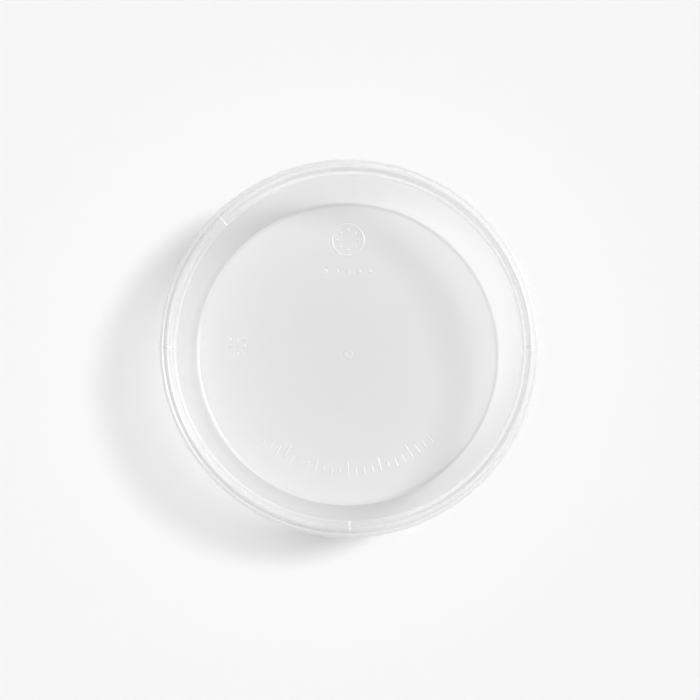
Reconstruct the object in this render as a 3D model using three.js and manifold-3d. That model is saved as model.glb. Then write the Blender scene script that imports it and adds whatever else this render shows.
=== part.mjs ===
// A round takeaway bowl of natural polypropylene, moulded in one piece: a flat base, a tapered wall and a
// stepped rim with a turned-down skirt, over which a lid presses on. Millimetres, +Z up. The origin is the
// middle of the base's underside, +Y is the side of the ring mark and -Y the side of the graduated arc.

import * as THREE from 'three';
import { mergeVertices } from 'three/addons/utils/BufferGeometryUtils.js';
import Module from 'manifold-3d';

// Driving dimensions.
const outerDiameter = 150;
const overallHeight = 45;
const sheetThickness = 0.7;

// The wall, from the base's corner to the ledge inside the rim. Radii are those of the sheet's middle.
const baseCornerRadius = 62.4;
const wallTopRadius = 68.85;
const baseCornerBend = 1.85;

// The rim, outwards from the ledge: drops are measured down from the top of the bowl.
const ledgeDrop = 3.6;
const ledgeOuterRadius = 70.45;
const crestRadius = 71.75;
const crestCornerRise = 0.4;
const valleyRadius = 73.2;
const valleyDrop = 2.3;
const shoulderDrop = 1.75;
const skirtDrop = 6.2;
const rimBend = 0.5;
const shoulderBend = 0.7;

// Stiffening webs under the rim, at the angles from +X at which they stand.
const webAngles = [0, 135, 180, 270];
const webThickness = 0.8;
const webDrop = 5.6;

// Raised marks on the floor inside the bowl, and the injection nub in its middle.
const markHeight = 0.3;
const markSink = 0.3;
const nubRadius = 2.1;
const nubHeight = 0.45;
const nubDraft = 0.25;
const dimpleRadius = 0.85;
const dimpleDepth = 0.35;
const ringMarkPlace = { x: 0, y: 47 };
const ringMarkRadius = 7;
const ringMarkWidth = 1;
const ringPipCount = 8;
const ringPipCircleRadius = 4.2;
const pipTaper = 0.8;
const smallPipRadius = 0.65;
const pipRowHeight = 34;
const pipRowCount = 5;
const pipRowSpacing = 4.6;
const rowPipRadius = 0.95;
const pipGridPlace = { x: -45.5, y: 3 };
const pipGridSide = 3;
const pipGridSpacing = 3;
const scaleOuterRadius = 50.4;
const scaleMiddleAngle = 270;
const scaleHalfAngle = 44;
const scaleStepAngle = 4;
const scaleStepsPerLongTick = 4;
const longTick = 6.2;
const shortTick = 3.6;
const tickWidth = 0.85;

// Fineness of the faceted shape.
const roundSegments = 80;
const arcStepAngle = 40;
const ringSegments = 28;
const nubSegments = 20;
const pipSegments = 8;
const mergeTolerance = 1e-5;

const wasm = await Module();
wasm.setup();

const radians = THREE.MathUtils.degToRad;
const halfThickness = sheetThickness / 2;
const skirtRadius = outerDiameter / 2 - halfThickness;

// A closed geometry as a solid, without the collapsed triangles that a lathe leaves on its axis.
function solidFrom(geometry) {
  const bare = geometry.clone();
  bare.deleteAttribute('normal');
  bare.deleteAttribute('uv');
  const merged = mergeVertices(bare, mergeTolerance);
  const corners = merged.index.array;
  const triangles = [];
  for (let i = 0; i < corners.length; i += 3) {
    const [a, b, c] = corners.slice(i, i + 3);
    if (a !== b && b !== c && c !== a) triangles.push(a, b, c);
  }
  return new wasm.Manifold(new wasm.Mesh({
    numProp: 3,
    vertProperties: merged.attributes.position.array,
    triVerts: Uint32Array.from(triangles),
  }));
}

function geometryFrom(solid) {
  const mesh = solid.getMesh();
  const geometry = new THREE.BufferGeometry();
  geometry.setAttribute('position', new THREE.BufferAttribute(mesh.vertProperties, 3));
  geometry.setIndex(new THREE.BufferAttribute(mesh.triVerts, 1));
  geometry.computeVertexNormals();
  return geometry;
}

// A profile of (radius, height) points turned about the Z axis.
function turned(profile, segments) {
  return new THREE.LatheGeometry(profile, segments).rotateX(Math.PI / 2);
}

// The middle of the sheet in section, as corners joined by straight runs, each corner rounded by its bend.
function sheetCorners() {
  const floorHeight = halfThickness;
  const ledgeHeight = overallHeight - ledgeDrop;
  return [
    { place: new THREE.Vector2(0, floorHeight), bend: 0 },
    { place: new THREE.Vector2(baseCornerRadius, floorHeight), bend: baseCornerBend },
    { place: new THREE.Vector2(wallTopRadius, ledgeHeight), bend: rimBend },
    { place: new THREE.Vector2(ledgeOuterRadius, ledgeHeight), bend: rimBend },
    { place: new THREE.Vector2(crestRadius, overallHeight + crestCornerRise), bend: rimBend },
    { place: new THREE.Vector2(valleyRadius, overallHeight - valleyDrop), bend: rimBend },
    { place: new THREE.Vector2(skirtRadius, overallHeight - shoulderDrop), bend: shoulderBend },
    { place: new THREE.Vector2(skirtRadius, overallHeight - skirtDrop), bend: 0 },
  ];
}

const leftOf = (direction) => new THREE.Vector2(-direction.y, direction.x);

// The corners as points along the sheet, each with the direction that faces the bowl's inside or top.
function sheetPoints(corners) {
  const last = corners.length - 1;
  const run = (i) => corners[i + 1].place.clone().sub(corners[i].place).normalize();
  const points = [{ place: corners[0].place, facing: leftOf(run(0)) }];
  for (let i = 1; i < last; i += 1) {
    const { place, bend } = corners[i];
    const before = run(i - 1);
    const after = run(i);
    const turn = Math.atan2(before.cross(after), before.dot(after));
    const start = place.clone().addScaledVector(before, -bend * Math.tan(Math.abs(turn) / 2));
    const side = Math.sign(turn);
    const centre = start.clone().addScaledVector(leftOf(before), bend * side);
    const steps = Math.ceil(Math.abs(turn) / radians(arcStepAngle));
    for (let step = 0; step <= steps; step += 1) {
      const facing = leftOf(before).rotateAround(new THREE.Vector2(), turn * step / steps);
      points.push({ place: centre.clone().addScaledVector(facing, -bend * side), facing });
    }
  }
  points.push({ place: corners[last].place, facing: leftOf(run(last - 1)) });
  return points;
}

// The whole wall, floor and rim: the sheet's two faces make one closed section, turned round the axis.
function shellSolid(points) {
  const offset = ({ place, facing }, distance) => place.clone().addScaledVector(facing, distance);
  const underside = points.map((point) => offset(point, -halfThickness));
  const topside = points.map((point) => offset(point, halfThickness)).reverse();
  return solidFrom(turned([...underside, ...topside], roundSegments));
}

// A web between the wall and the skirt: it fills the section under the rim, down to its lower edge.
function webSolid(points, angle) {
  const bottom = overallHeight - webDrop;
  const wall = points.findIndex(({ place }) => place.y > bottom);
  const below = points[wall - 1].place;
  const above = points[wall].place;
  const foot = below.clone().lerp(above, (bottom - below.y) / (above.y - below.y));
  const under = points.slice(wall).map(({ place }) => place).filter((place) => place.y > bottom);
  const skirtFoot = new THREE.Vector2(skirtRadius, bottom);
  const outline = new THREE.Shape([foot, ...under, skirtFoot]);
  const web = new THREE.ExtrudeGeometry(outline, { depth: webThickness, bevelEnabled: false });
  web.translate(0, 0, -webThickness / 2).rotateX(Math.PI / 2).rotateZ(radians(angle));
  return solidFrom(web);
}

// Raised marks stand on the floor's top face and reach a little way down into it.
const markFoot = sheetThickness - markSink;
const markTop = sheetThickness + markHeight;

function pipSolid(x, y, radius) {
  const height = markTop - markFoot;
  const pip = new THREE.CylinderGeometry(radius * pipTaper, radius, height, pipSegments);
  return solidFrom(pip.rotateX(Math.PI / 2).translate(x, y, (markTop + markFoot) / 2));
}

function ringSolid(x, y, radius, width) {
  const inner = radius - width;
  const section = [
    new THREE.Vector2(inner, markFoot),
    new THREE.Vector2(radius, markFoot),
    new THREE.Vector2(radius, markTop),
    new THREE.Vector2(inner, markTop),
    new THREE.Vector2(inner, markFoot),
  ];
  return solidFrom(turned(section, ringSegments).translate(x, y, 0));
}

function tickSolid(angle, length) {
  const tick = new THREE.BoxGeometry(length, tickWidth, markTop - markFoot);
  tick.translate(scaleOuterRadius - length / 2, 0, (markTop + markFoot) / 2);
  return solidFrom(tick.rotateZ(radians(angle)));
}

function nubSolid() {
  const top = sheetThickness + nubHeight;
  const profile = [
    new THREE.Vector2(0, markFoot),
    new THREE.Vector2(nubRadius, markFoot),
    new THREE.Vector2(nubRadius, sheetThickness),
    new THREE.Vector2(nubRadius - nubDraft, top),
    new THREE.Vector2(dimpleRadius, top),
    new THREE.Vector2(dimpleRadius - nubDraft, top - dimpleDepth),
    new THREE.Vector2(0, top - dimpleDepth),
  ];
  return solidFrom(turned(profile, nubSegments));
}

// A ring with a circle of pips in it, on the +Y side of the floor.
function ringMark() {
  const { x, y } = ringMarkPlace;
  const solids = [ringSolid(x, y, ringMarkRadius, ringMarkWidth)];
  for (let i = 0; i < ringPipCount; i += 1) {
    const angle = 2 * Math.PI * i / ringPipCount;
    const pipX = x + ringPipCircleRadius * Math.cos(angle);
    const pipY = y + ringPipCircleRadius * Math.sin(angle);
    solids.push(pipSolid(pipX, pipY, smallPipRadius));
  }
  return solids;
}

function pipRow() {
  const solids = [];
  for (let i = 0; i < pipRowCount; i += 1) {
    solids.push(pipSolid((i - (pipRowCount - 1) / 2) * pipRowSpacing, pipRowHeight, rowPipRadius));
  }
  return solids;
}

function pipGrid() {
  const solids = [];
  const middle = (pipGridSide - 1) / 2;
  for (let row = 0; row < pipGridSide; row += 1) {
    for (let column = 0; column < pipGridSide; column += 1) {
      const x = pipGridPlace.x + (column - middle) * pipGridSpacing;
      const y = pipGridPlace.y + (row - middle) * pipGridSpacing;
      solids.push(pipSolid(x, y, smallPipRadius));
    }
  }
  return solids;
}

// A graduated arc of radial ticks, every fourth of them long.
function graduatedArc() {
  const solids = [];
  const halfCount = scaleHalfAngle / scaleStepAngle;
  for (let step = -halfCount; step <= halfCount; step += 1) {
    const length = step % scaleStepsPerLongTick === 0 ? longTick : shortTick;
    solids.push(tickSolid(scaleMiddleAngle + step * scaleStepAngle, length));
  }
  return solids;
}

function bowlSolid() {
  const points = sheetPoints(sheetCorners());
  const additions = [
    ...webAngles.map((angle) => webSolid(points, angle)),
    nubSolid(),
    ...ringMark(),
    ...pipRow(),
    ...pipGrid(),
    ...graduatedArc(),
  ];
  return additions.reduce((whole, addition) => whole.add(addition), shellSolid(points));
}

const plastic = new THREE.MeshStandardMaterial({
  color: 0xeef0ee,
  roughness: 0.3,
  metalness: 0,
  transparent: true,
  opacity: 0.5,
});

const bowl = new THREE.Mesh(geometryFrom(bowlSolid()), plastic);
bowl.name = 'bowl';

const part = new THREE.Group();
part.add(bowl);

export default part;
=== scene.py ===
import math

import bmesh
import bpy
from mathutils import Matrix, Vector


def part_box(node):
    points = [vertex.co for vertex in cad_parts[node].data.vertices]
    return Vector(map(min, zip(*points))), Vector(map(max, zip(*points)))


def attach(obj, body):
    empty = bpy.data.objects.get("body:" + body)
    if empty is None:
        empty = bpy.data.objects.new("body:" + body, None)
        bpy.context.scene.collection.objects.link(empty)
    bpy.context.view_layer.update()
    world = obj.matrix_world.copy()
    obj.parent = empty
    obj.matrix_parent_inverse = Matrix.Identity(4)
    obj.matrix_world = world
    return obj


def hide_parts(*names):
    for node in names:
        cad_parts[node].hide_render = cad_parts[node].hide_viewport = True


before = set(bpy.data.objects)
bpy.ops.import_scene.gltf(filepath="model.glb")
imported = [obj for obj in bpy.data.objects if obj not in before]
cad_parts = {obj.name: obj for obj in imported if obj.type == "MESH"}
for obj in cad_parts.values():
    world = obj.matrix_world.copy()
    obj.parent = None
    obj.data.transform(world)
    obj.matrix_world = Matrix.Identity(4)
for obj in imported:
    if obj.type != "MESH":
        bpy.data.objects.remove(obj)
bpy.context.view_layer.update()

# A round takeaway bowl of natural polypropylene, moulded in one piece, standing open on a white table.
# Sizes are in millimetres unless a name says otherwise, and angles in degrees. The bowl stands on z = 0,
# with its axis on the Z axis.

MM = 0.001
high_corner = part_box("bowl")[1]

# The moulding's sizes. Radii are those of the sheet's middle, and drops are measured down from the top.
RIM_RADIUS = high_corner.x / MM
HEIGHT = high_corner.z / MM
SHEET = 0.7
HALF_SHEET = SHEET / 2
FLOOR_RADIUS = 62.4
FLOOR_BEND = 1.85
WALL_TOP_RADIUS = 68.85
LEDGE_RADIUS = 70.45
LEDGE_DROP = 3.6
CREST_RADIUS = 71.75
CREST_CORNER_RISE = 0.4
VALLEY_RADIUS = 73.2
VALLEY_DROP = 2.3
SKIRT_RADIUS = RIM_RADIUS - HALF_SHEET
SHOULDER_DROP = 1.75
SKIRT_DROP = 6.2
RIM_BEND = 0.5
SHOULDER_BEND = 0.7

# Stiffening webs under the rim. On top each stands out as a low ridge, wherever the upward part of the
# sheet's normal is more than LEAST_UPWARD.
WEB_ANGLES = (0, 135, 180, 270)
WEB_THICKNESS = 0.8
WEB_DROP = 5.6
WEB_RIDGE = 0.1
LEAST_UPWARD = 0.3

# Raised marks on the floor. A rounding lists points up an edge: how far each lies inwards and how far
# below the top, as shares of the mark's draft or of the nub's edge.
MARK_HEIGHT = 0.3
MARK_SINK = 0.3
MARK_DRAFT = 0.28
MARK_ROUNDING = ((0.5, 0.5), (0.75, 1 / 6), (1.3, 0))
NUB_RADIUS = 2.1
NUB_HEIGHT = 0.45
NUB_EDGE = 0.25
NUB_ROUNDING = ((1 / 3, 0.7), (1, 0.15), (1.6, 0))
DIMPLE_RADIUS = 0.85
DIMPLE_DEPTH = 0.35
DIMPLE_ROUNDING = ((-0.5, 0), (0, 1 / 3))
RING_PLACE = (0, 47)
RING_RADIUS = 7
RING_WIDTH = 1
RING_PIPS = 8
RING_PIP_CIRCLE = 4.2
SMALL_PIP_RADIUS = 0.65
ROW_Y = 34
ROW_PIPS = 5
ROW_SPACING = 4.6
ROW_PIP_RADIUS = 0.95
GRID_PLACE = (-45.5, 3)
GRID_SIDE = 3
GRID_SPACING = 3
SCALE_RADIUS = 50.4
SCALE_MIDDLE = 270
SCALE_HALF_ANGLE = 44
SCALE_STEP = 4
STEPS_PER_LONG_TICK = 4
LONG_TICK = 6.2
SHORT_TICK = 3.6
TICK_WIDTH = 0.85

# Fineness of the mesh. A guard is one more point, this far beyond each end of a bend: it keeps the bend's
# soft shading off the straight runs. Edges that turn by less than SMOOTH_BELOW are shaded as one surface.
FLOOR_RINGS = 24
ROUND_SEGMENTS = 300
MARK_SEGMENTS = 32
NUB_SEGMENTS = 64
RING_SEGMENTS = 96
ARC_STEP = 9
GUARD = 0.04
SMOOTH_BELOW = 28


def left_of(direction):
    return Vector((-direction.y, direction.x))


def sheet_corners():
    """The middle of the sheet in section: a place and a bend for each corner, from the axis outwards."""
    ledge = HEIGHT - LEDGE_DROP
    return (
        (Vector((0, HALF_SHEET)), 0),
        (Vector((FLOOR_RADIUS, HALF_SHEET)), FLOOR_BEND),
        (Vector((WALL_TOP_RADIUS, ledge)), RIM_BEND),
        (Vector((LEDGE_RADIUS, ledge)), RIM_BEND),
        (Vector((CREST_RADIUS, HEIGHT + CREST_CORNER_RISE)), RIM_BEND),
        (Vector((VALLEY_RADIUS, HEIGHT - VALLEY_DROP)), RIM_BEND),
        (Vector((SKIRT_RADIUS, HEIGHT - SHOULDER_DROP)), SHOULDER_BEND),
        (Vector((SKIRT_RADIUS, HEIGHT - SKIRT_DROP)), 0),
    )


def sheet_points(corners):
    """Points along the sheet's middle, its corners rounded, each with the way its top or inside faces."""
    runs = [(b - a).normalized() for (a, _), (b, _) in zip(corners, corners[1:])]
    middle, floor_edge = corners[0][0], corners[1][0]
    rings = [middle.lerp(floor_edge, i / FLOOR_RINGS) for i in range(FLOOR_RINGS - 1)]
    points = [(place, left_of(runs[0])) for place in rings]
    for (place, bend), before, after in zip(corners[1:], runs, runs[1:]):
        turn = math.atan2(before.x * after.y - before.y * after.x, before.dot(after))
        start = place - before * bend * math.tan(abs(turn) / 2)
        side = math.copysign(1, turn)
        centre = start + left_of(before) * bend * side
        points.append((start - before * GUARD, left_of(before)))
        steps = math.ceil(abs(turn) / math.radians(ARC_STEP))
        for step in range(steps + 1):
            facing = left_of(before)
            facing.rotate(Matrix.Rotation(turn * step / steps, 2))
            points.append((centre - facing * bend * side, facing))
        points.append((points[-1][0] + after * GUARD, left_of(after)))
    points.append((corners[-1][0], left_of(runs[-1])))
    return points


def mesh_object(name, bm):
    """Makes an object of a mesh that was built in millimetres, with all faces turned outwards."""
    bmesh.ops.recalc_face_normals(bm, faces=bm.faces)
    bm.transform(Matrix.Scale(MM, 4))
    mesh = bpy.data.meshes.new(name)
    bm.to_mesh(mesh)
    bm.free()
    made = bpy.data.objects.new(name, mesh)
    bpy.context.scene.collection.objects.link(made)
    return made


def add_turned(bm, section, segments, place=(0, 0), closed=False):
    """Turns a section of (radius, height) points round the upright axis at a place."""
    rings = []
    for radius, height in section:
        if radius == 0:
            rings.append([bm.verts.new((*place, height))] * segments)
            continue
        ring = []
        for i in range(segments):
            angle = 2 * math.pi * i / segments
            x = place[0] + radius * math.cos(angle)
            y = place[1] + radius * math.sin(angle)
            ring.append(bm.verts.new((x, y, height)))
        rings.append(ring)
    pairs = list(zip(rings, rings[1:]))
    if closed:
        pairs.append((rings[-1], rings[0]))
    for lower, upper in pairs:
        for i in range(segments):
            j = (i + 1) % segments
            around = (lower[i], lower[j], upper[j], upper[i])
            bm.faces.new(list(dict.fromkeys(around)))


def add_prism(bm, outline, to_space, depth):
    """A flat outline pushed out to both sides; to_space turns (u, v, w) into a point."""
    sides = []
    for w in (-depth / 2, depth / 2):
        sides.append([bm.verts.new(to_space(u, v, w)) for u, v in outline])
    front, back = sides
    bm.faces.new(front)
    bm.faces.new(back)
    for i in range(len(outline)):
        j = (i + 1) % len(outline)
        bm.faces.new((front[i], front[j], back[j], back[i]))


def mark_profile():
    """(height, inset) up the side of a raised mark: sunk into the floor, drafted, rounded at the top."""
    top = SHEET + MARK_HEIGHT
    side = [(top - MARK_DRAFT * drop, MARK_DRAFT * inset) for inset, drop in MARK_ROUNDING]
    return [(SHEET - MARK_SINK, 0), (SHEET, 0)] + side


def add_raised_bar(bm, start, end, half_width):
    """A raised bar with round ends from start to end on the floor, or a round pip where both are one."""
    direction = (end - start).normalized() if end != start else Vector((1, 0))
    layers = []
    for height, inset in mark_profile():
        radius = half_width - inset
        layer = []
        for i in range(MARK_SEGMENTS):
            angle = 2 * math.pi * (i + 0.5) / MARK_SEGMENTS
            along, across = radius * math.cos(angle), radius * math.sin(angle)
            centre = end if along > 0 else start
            point = centre + direction * along + left_of(direction) * across
            layer.append(bm.verts.new((point.x, point.y, height)))
        layers.append(layer)
    for lower, upper in zip(layers, layers[1:]):
        for i in range(MARK_SEGMENTS):
            j = (i + 1) % MARK_SEGMENTS
            bm.faces.new((lower[i], lower[j], upper[j], upper[i]))
    bm.faces.new(layers[0])
    bm.faces.new(layers[-1])


def add_raised_ring(bm):
    outer = [(RING_RADIUS - inset, height) for height, inset in mark_profile()]
    inner = [(RING_RADIUS - RING_WIDTH + inset, height) for height, inset in mark_profile()]
    add_turned(bm, outer + inner[::-1], RING_SEGMENTS, RING_PLACE, closed=True)


def add_nub(bm):
    """The injection nub in the middle of the floor, with a dimple in its top."""
    foot = SHEET - MARK_SINK
    top = SHEET + NUB_HEIGHT

    def edge(radius, rounding):
        return [(radius - NUB_EDGE * inset, top - NUB_EDGE * drop) for inset, drop in rounding]

    section = [(0, foot), (NUB_RADIUS, foot), (NUB_RADIUS, SHEET)]
    section += edge(NUB_RADIUS, NUB_ROUNDING) + edge(DIMPLE_RADIUS, DIMPLE_ROUNDING)
    section += [(DIMPLE_RADIUS - NUB_EDGE, top - DIMPLE_DEPTH), (0, top - DIMPLE_DEPTH)]
    add_turned(bm, section, NUB_SEGMENTS)


def round_about(place, radius, angle):
    """The point at a radius and an angle from a place on the floor."""
    turned = math.radians(angle)
    return Vector((place[0] + radius * math.cos(turned), place[1] + radius * math.sin(turned)))


def raised_marks():
    """All raised marks on the floor in one mesh."""
    bm = bmesh.new()
    add_nub(bm)
    add_raised_ring(bm)
    for i in range(RING_PIPS):
        pip = round_about(RING_PLACE, RING_PIP_CIRCLE, 360 * i / RING_PIPS)
        add_raised_bar(bm, pip, pip, SMALL_PIP_RADIUS)
    for i in range(ROW_PIPS):
        pip = Vector(((i - (ROW_PIPS - 1) / 2) * ROW_SPACING, ROW_Y))
        add_raised_bar(bm, pip, pip, ROW_PIP_RADIUS)
    for row in range(GRID_SIDE):
        for column in range(GRID_SIDE):
            x = GRID_PLACE[0] + (column - (GRID_SIDE - 1) / 2) * GRID_SPACING
            y = GRID_PLACE[1] + (row - (GRID_SIDE - 1) / 2) * GRID_SPACING
            pip = Vector((x, y))
            add_raised_bar(bm, pip, pip, SMALL_PIP_RADIUS)
    ticks_each_side = SCALE_HALF_ANGLE // SCALE_STEP
    for step in range(-ticks_each_side, ticks_each_side + 1):
        length = SHORT_TICK if step % STEPS_PER_LONG_TICK else LONG_TICK
        angle = SCALE_MIDDLE + step * SCALE_STEP
        half = TICK_WIDTH / 2
        outer = round_about((0, 0), SCALE_RADIUS - half, angle)
        inner = round_about((0, 0), SCALE_RADIUS - length + half, angle)
        add_raised_bar(bm, outer, inner, half)
    return mesh_object("raised_marks", bm)


def rim_webs(points):
    """The webs between the wall and the skirt, in one mesh.

    Each fills the section under the rim and stands out as a faint ridge on top, as far as the valley."""
    bottom = HEIGHT - WEB_DROP
    first = next(i for i, (place, _) in enumerate(points) if place.y > bottom)
    below, above = points[first - 1][0], points[first][0]
    outline = [below.lerp(above, (bottom - below.y) / (above.y - below.y))]
    for place, facing in points[first:]:
        on_top = facing.y > LEAST_UPWARD and place.x < VALLEY_RADIUS
        if place.y > bottom:
            outline.append(place + facing * (HALF_SHEET + WEB_RIDGE) if on_top else place)
    outline.append(Vector((SKIRT_RADIUS, bottom)))
    bm = bmesh.new()
    for angle in WEB_ANGLES:
        turned = Matrix.Rotation(math.radians(angle), 3, "Z")
        add_prism(bm, outline, lambda u, v, w: turned @ Vector((u, w, v)), WEB_THICKNESS)
    return mesh_object("rim_webs", bm)


def turned_sheet(points):
    """Floor, wall and rim: the sheet's two faces make one section, turned round the axis."""
    underside = [place - facing * HALF_SHEET for place, facing in points]
    topside = [place + facing * HALF_SHEET for place, facing in points]
    bm = bmesh.new()
    add_turned(bm, [tuple(p) for p in underside + topside[::-1]], ROUND_SEGMENTS)
    return mesh_object("bowl_moulding", bm)


def unite(body, tool):
    """Makes the tool's solids part of the body, and takes the tool away."""
    union = body.modifiers.new("union", "BOOLEAN")
    union.operation = "UNION"
    union.solver = "EXACT"
    union.object = tool
    union.material_mode = "TRANSFER"
    graph = bpy.context.evaluated_depsgraph_get()
    joined = bpy.data.meshes.new_from_object(body.evaluated_get(graph))
    body.modifiers.clear()
    body.data = joined
    bpy.data.objects.remove(tool)


class Wire:
    """An output of a node. Arithmetic on it adds Math nodes."""

    def __init__(self, nodes, socket):
        self.nodes = nodes
        self.socket = socket

    def math(self, operation, *values):
        sockets = dict(enumerate(values))
        return self.nodes.node("ShaderNodeMath", 0, {"operation": operation}, sockets)

    def __add__(self, other):
        return self.math("ADD", self, other)

    def __sub__(self, other):
        return self.math("SUBTRACT", self, other)

    def __mul__(self, other):
        return self.math("MULTIPLY", self, other)

    def __truediv__(self, other):
        return self.math("DIVIDE", self, other)

    def __pow__(self, other):
        return self.math("POWER", self, other)

    def __rsub__(self, other):
        return self.math("SUBTRACT", other, self)

    def __rtruediv__(self, other):
        return self.math("DIVIDE", other, self)

    def __rpow__(self, other):
        return self.math("POWER", other, self)

    __radd__ = __add__
    __rmul__ = __mul__

    def at_least(self, other):
        return self.math("MAXIMUM", self, other)

    def at_most(self, other):
        return self.math("MINIMUM", self, other)

    def is_below(self, other):
        return self.math("LESS_THAN", self, other)


class Nodes:
    """A tree of shader nodes being built, for a material or for the world."""

    def __init__(self, owner):
        owner.use_nodes = True
        self.tree = owner.node_tree
        self.tree.nodes.clear()

    def node(self, kind, output, settings=None, sockets=None):
        """Adds a node, sets it, then fills its sockets with values or wires; gives one of its outputs."""
        made = self.tree.nodes.new(kind)
        for key, value in (settings or {}).items():
            setattr(made, key, value)
        for key, value in (sockets or {}).items():
            if isinstance(value, Wire):
                self.tree.links.new(value.socket, made.inputs[key])
            else:
                made.inputs[key].default_value = value
        return Wire(self, made.outputs[output])

    def mixed(self, share, first, second):
        """Two shaders mixed; share is the second one's part."""
        return self.node("ShaderNodeMixShader", 0, None, {0: share, 1: first, 2: second})

    def finish(self, shader, kind="ShaderNodeOutputMaterial"):
        output = self.tree.nodes.new(kind)
        self.tree.links.new(shader.socket, output.inputs["Surface"])


# Natural polypropylene: its gloss grows towards grazing sight and is a little uneven. The scales of the
# clouds and of the grain are per metre. BENDING is an index of refraction, and at an even blend the Facing
# output is one less the cosine of the angle of sight.
MILK = (0.92, 0.92, 0.92, 1)
CLEAR_TINT = (0.985, 0.985, 0.985, 1)
EVEN_BLEND = 0.5
BENDING = 1.25
HEAD_ON_GLOSS = 0.05
MOST_GLOSS = 0.35
GLOSS_SHARPNESS = 5
GLOSS_ROUGHNESS = 0.22
ROUGHNESS_CHANGE = 0.06
CLOUD_SCALE = 60
CLOUD_DETAIL = 3
CLOUD_MIDDLE = 0.5
GRAIN_SCALE = 900
GRAIN_DETAIL = 2
GRAIN_STRENGTH = 0.05
GRAIN_DEPTH_M = 0.00005
OUTER_GRAZING_LOSS = 2.2
OUTER_SHARPNESS = 4
INNER_SHARPNESS = 12

# Finishes that differ with the height: each has one value for the floor, one for the wall and one for
# the rim.
FLOOR_TOP = 1.5
FLOOR_FADE = 2.0
RIM_BOTTOM = 40
RIM_FADE = 1.5
LAMP_LOSS = (0.62, 0.2, 0.2)
SHEET_CLEARNESS = (0.5, 0.52, 0.35)
SHEET_BACKLIT_SHARE = (0.4, 0.7, 0.5)
WEB_CLEARNESS = (0.05, 0.05, 0.05)
WEB_BACKLIT_SHARE = (0.3, 0.3, 0.3)


def zones(nodes, place):
    """A function that blends the values for floor, wall and rim by the height of a place."""
    height = nodes.node("ShaderNodeSeparateXYZ", "Z", None, {0: place})
    above_floor = ((height - FLOOR_TOP * MM) / (FLOOR_FADE * MM)).at_least(0).at_most(1)
    at_rim = ((height - RIM_BOTTOM * MM) / (RIM_FADE * MM)).at_least(0).at_most(1)

    def by_zone(values):
        floor, wall, rim = values
        return floor + (wall - floor) * above_floor + (rim - wall) * at_rim

    return by_zone


def lamp_share(nodes, facing, by_zone):
    """The share of the lamp's light that a sheet lets through; least where it grazes an outer face.

    The outer faces look downwards: the underside of the floor, and the outside of the tapered wall."""
    normal = nodes.node("ShaderNodeNewGeometry", "Normal")
    outer = nodes.node("ShaderNodeSeparateXYZ", "Z", None, {0: normal}).is_below(0)
    outer_loss = by_zone(LAMP_LOSS) + OUTER_GRAZING_LOSS * facing ** OUTER_SHARPNESS
    inner_loss = facing ** INNER_SHARPNESS
    return 1 - (inner_loss + outer * (outer_loss - inner_loss)).at_most(1)


def milky_body(nodes, place, backlit_share, gloss_share):
    """What a sheet shows of itself: milk that is lit from the front or from behind, under a soft gloss."""
    cloud_settings = {"Vector": place, "Scale": CLOUD_SCALE, "Detail": CLOUD_DETAIL}
    cloud = nodes.node("ShaderNodeTexNoise", "Fac", None, cloud_settings)
    roughness = GLOSS_ROUGHNESS + ROUGHNESS_CHANGE * (cloud - CLOUD_MIDDLE)
    grain_settings = {"Vector": place, "Scale": GRAIN_SCALE, "Detail": GRAIN_DETAIL}
    grain = nodes.node("ShaderNodeTexNoise", "Fac", None, grain_settings)
    relief = {"Height": grain, "Strength": GRAIN_STRENGTH, "Distance": GRAIN_DEPTH_M}
    bump = nodes.node("ShaderNodeBump", "Normal", None, relief)
    front = nodes.node("ShaderNodeBsdfDiffuse", 0, None, {"Color": MILK, "Normal": bump})
    back = nodes.node("ShaderNodeBsdfTranslucent", 0, None, {"Color": MILK, "Normal": bump})
    mirror = nodes.node("ShaderNodeBsdfGlossy", 0, None, {"Roughness": roughness, "Normal": bump})
    return nodes.mixed(gloss_share, nodes.mixed(backlit_share, front, back), mirror)


def polypropylene(name, clearness_by_zone, backlit_share_by_zone):
    """Milky plastic: a sheet lets a share of the light straight through, less where the way is longer.

    A sheet has two faces, and only the one that a ray meets from outside counts. Inside the plastic the way
    is bent towards upright, so that it never grows long. Light that is scattered by a few degrees still
    reaches the table, so that a lamp's light comes through better than the picture of what lies behind."""
    material = bpy.data.materials.new(name)
    nodes = Nodes(material)
    place = nodes.node("ShaderNodeTexCoord", "Object")
    by_zone = zones(nodes, place)
    facing = nodes.node("ShaderNodeLayerWeight", "Facing", None, {"Blend": EVEN_BLEND})
    cosine = 1 - facing
    way = (1 - (1 - cosine ** 2) / BENDING ** 2) ** -0.5
    gloss = HEAD_ON_GLOSS + (MOST_GLOSS - HEAD_ON_GLOSS) * facing ** GLOSS_SHARPNESS
    seen = (1 - gloss) * by_zone(clearness_by_zone) ** way
    from_lamp = nodes.node("ShaderNodeLightPath", "Is Shadow Ray")
    through = seen + from_lamp * (lamp_share(nodes, facing, by_zone) - seen)
    inside = nodes.node("ShaderNodeNewGeometry", "Backfacing")
    body = milky_body(nodes, place, by_zone(backlit_share_by_zone), gloss / (1 - seen))
    clear = nodes.node("ShaderNodeBsdfTransparent", 0, None, {"Color": CLEAR_TINT})
    nodes.finish(nodes.mixed(inside + (1 - inside) * through, body, clear))
    return material


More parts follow.
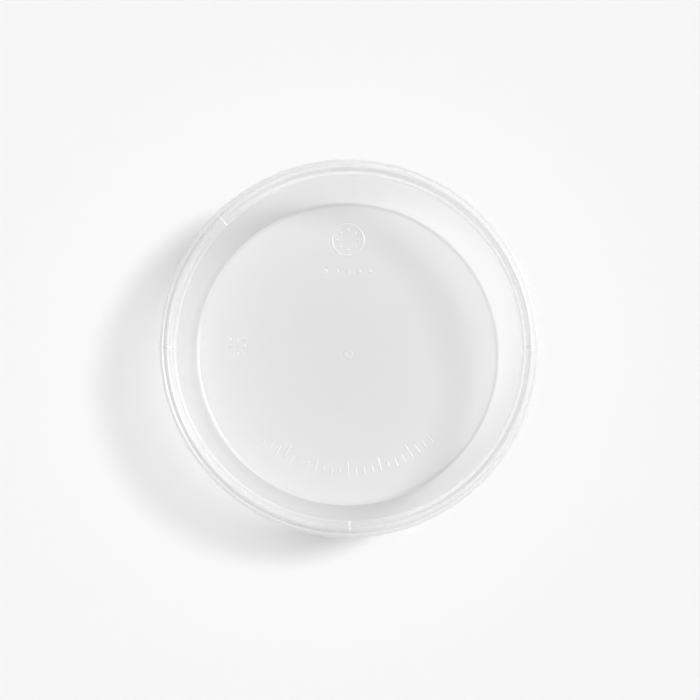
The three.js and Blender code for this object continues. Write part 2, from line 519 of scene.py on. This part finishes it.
def bowl_moulding():
    points = sheet_points(sheet_corners())
    bowl = turned_sheet(points)
    marks = raised_marks()
    webs = rim_webs(points)
    sheet_finish = polypropylene("natural_polypropylene", SHEET_CLEARNESS, SHEET_BACKLIT_SHARE)
    bowl.data.materials.append(sheet_finish)
    marks.data.materials.append(sheet_finish)
    web_finish = polypropylene("thick_polypropylene", WEB_CLEARNESS, WEB_BACKLIT_SHARE)
    webs.data.materials.append(web_finish)
    unite(bowl, marks)
    unite(bowl, webs)
    bowl.data.shade_smooth()
    bowl.data.set_sharp_from_angle(angle=math.radians(SMOOTH_BELOW))
    return bowl


# The table and the light.
TABLE_SIDE_M = 12
TABLE_CELLS = 8
TABLE_GAP_M = 0.0003
TABLE_WHITE = (0.9, 0.9, 0.9, 1)
TABLE_ROUGHNESS = 0.9
WHITE = (1, 1, 1, 1)
WALLS_LIGHT = 0.955
CEILING_LIGHT = 0.03
SEEN_BACKDROP = 0.94
SUN_STRENGTH = 2.54
SUN_AZIMUTH = 22
SUN_ZENITH = 35
SUN_WIDTH = 15


def white_table():
    """A wide white table top."""
    bm = bmesh.new()
    half_side = TABLE_SIDE_M / 2 / MM
    bmesh.ops.create_grid(bm, x_segments=TABLE_CELLS, y_segments=TABLE_CELLS, size=half_side)
    table = mesh_object("table", bm)
    table.location.z = -TABLE_GAP_M
    material = bpy.data.materials.new("matt_white")
    nodes = Nodes(material)
    shader = {"Base Color": TABLE_WHITE, "Roughness": TABLE_ROUGHNESS, "Specular IOR Level": 0.0}
    nodes.finish(nodes.node("ShaderNodeBsdfPrincipled", 0, None, shader))
    table.data.materials.append(material)
    return table


def white_room():
    """The light from around: bright walls and a dim ceiling, and an even white where it is seen itself."""
    world = bpy.data.worlds.new("white_room")
    bpy.context.scene.world = world
    nodes = Nodes(world)
    direction = nodes.node("ShaderNodeTexCoord", "Generated")
    steepness = nodes.node("ShaderNodeSeparateXYZ", "Z", None, {0: direction}).at_least(0)
    strength = WALLS_LIGHT + (CEILING_LIGHT - WALLS_LIGHT) * steepness
    lit = {"Color": WHITE, "Strength": strength}
    room = nodes.node("ShaderNodeBackground", 0, None, lit)
    plain = {"Color": WHITE, "Strength": SEEN_BACKDROP}
    backdrop = nodes.node("ShaderNodeBackground", 0, None, plain)
    seen = nodes.node("ShaderNodeLightPath", "Is Camera Ray")
    nodes.finish(nodes.mixed(seen, room, backdrop), "ShaderNodeOutputWorld")


def soft_lamp():
    """One large soft lamp to the right and behind."""
    lamp = bpy.data.lights.new("soft_lamp", "SUN")
    lamp.energy = SUN_STRENGTH
    lamp.angle = math.radians(SUN_WIDTH)
    holder = bpy.data.objects.new("soft_lamp", lamp)
    bpy.context.scene.collection.objects.link(holder)
    azimuth, zenith = math.radians(SUN_AZIMUTH), math.radians(SUN_ZENITH)
    flat = math.sin(zenith)
    way_to_lamp = Vector((math.cos(azimuth) * flat, math.sin(azimuth) * flat, math.cos(zenith)))
    holder.rotation_euler = way_to_lamp.to_track_quat("Z", "Y").to_euler()


# The camera looks down at the rim, nearly along the axis.
CAMERA_AZIMUTH = -15.3
CAMERA_ELEVATION = 86.17
CAMERA_DISTANCE = 974
CAMERA_TARGET = (0.18, -1.15, 43)
VIEW_WIDTH = 276.3
SENSOR_WIDTH = 36
FARTHEST_SEEN_M = 100


def photo_camera():
    azimuth, elevation = math.radians(CAMERA_AZIMUTH), math.radians(CAMERA_ELEVATION)
    flat = math.cos(elevation)
    back = Vector((math.sin(azimuth) * flat, -math.cos(azimuth) * flat, math.sin(elevation)))
    right = Vector((0, 1, 0)).cross(back).normalized()
    up = back.cross(right)
    lens = bpy.data.cameras.new("camera")
    camera = bpy.data.objects.new("camera", lens)
    bpy.context.scene.collection.objects.link(camera)
    view = Matrix((right, up, back)).transposed().to_4x4()
    view.translation = (Vector(CAMERA_TARGET) + back * CAMERA_DISTANCE) * MM
    camera.matrix_world = view
    lens.sensor_width = SENSOR_WIDTH
    lens.lens = SENSOR_WIDTH * CAMERA_DISTANCE / VIEW_WIDTH
    lens.clip_end = FARTHEST_SEEN_M
    bpy.context.scene.camera = camera


# The camera's answer to light just below white: (light, answer), between black and white.
TONES = ((0.84, 0.84), (0.913, 0.944), (0.974, 0.956))

# How often light may pass on. It meets many faces of a see-through bowl one after the other.
MOST_CLEAR_FACES = 64
MOST_BOUNCES = 24
MOST_MILKY_BOUNCES = 16
MOST_GLOSSY_BOUNCES = 16


def level_off_near_white(view):
    """Bends the camera's tones, so that a brightly lit table stays an even white."""
    view.use_curve_mapping = True
    curve = view.curve_mapping.curves[-1]
    for light, answer in TONES:
        curve.points.new(light, answer)
    for point in curve.points:
        point.handle_type = "VECTOR"
    view.curve_mapping.update()


bowl = bowl_moulding()
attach(bowl, "root")
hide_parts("bowl")

white_table()
white_room()
soft_lamp()
photo_camera()

scene = bpy.context.scene
scene.view_settings.view_transform = "Standard"
scene.view_settings.look = "None"
level_off_near_white(scene.view_settings)
scene.cycles.transparent_max_bounces = MOST_CLEAR_FACES
scene.cycles.max_bounces = MOST_BOUNCES
scene.cycles.diffuse_bounces = MOST_MILKY_BOUNCES
scene.cycles.glossy_bounces = MOST_GLOSSY_BOUNCES
scene.cycles.denoising_input_passes = "RGB_ALBEDO_NORMAL"
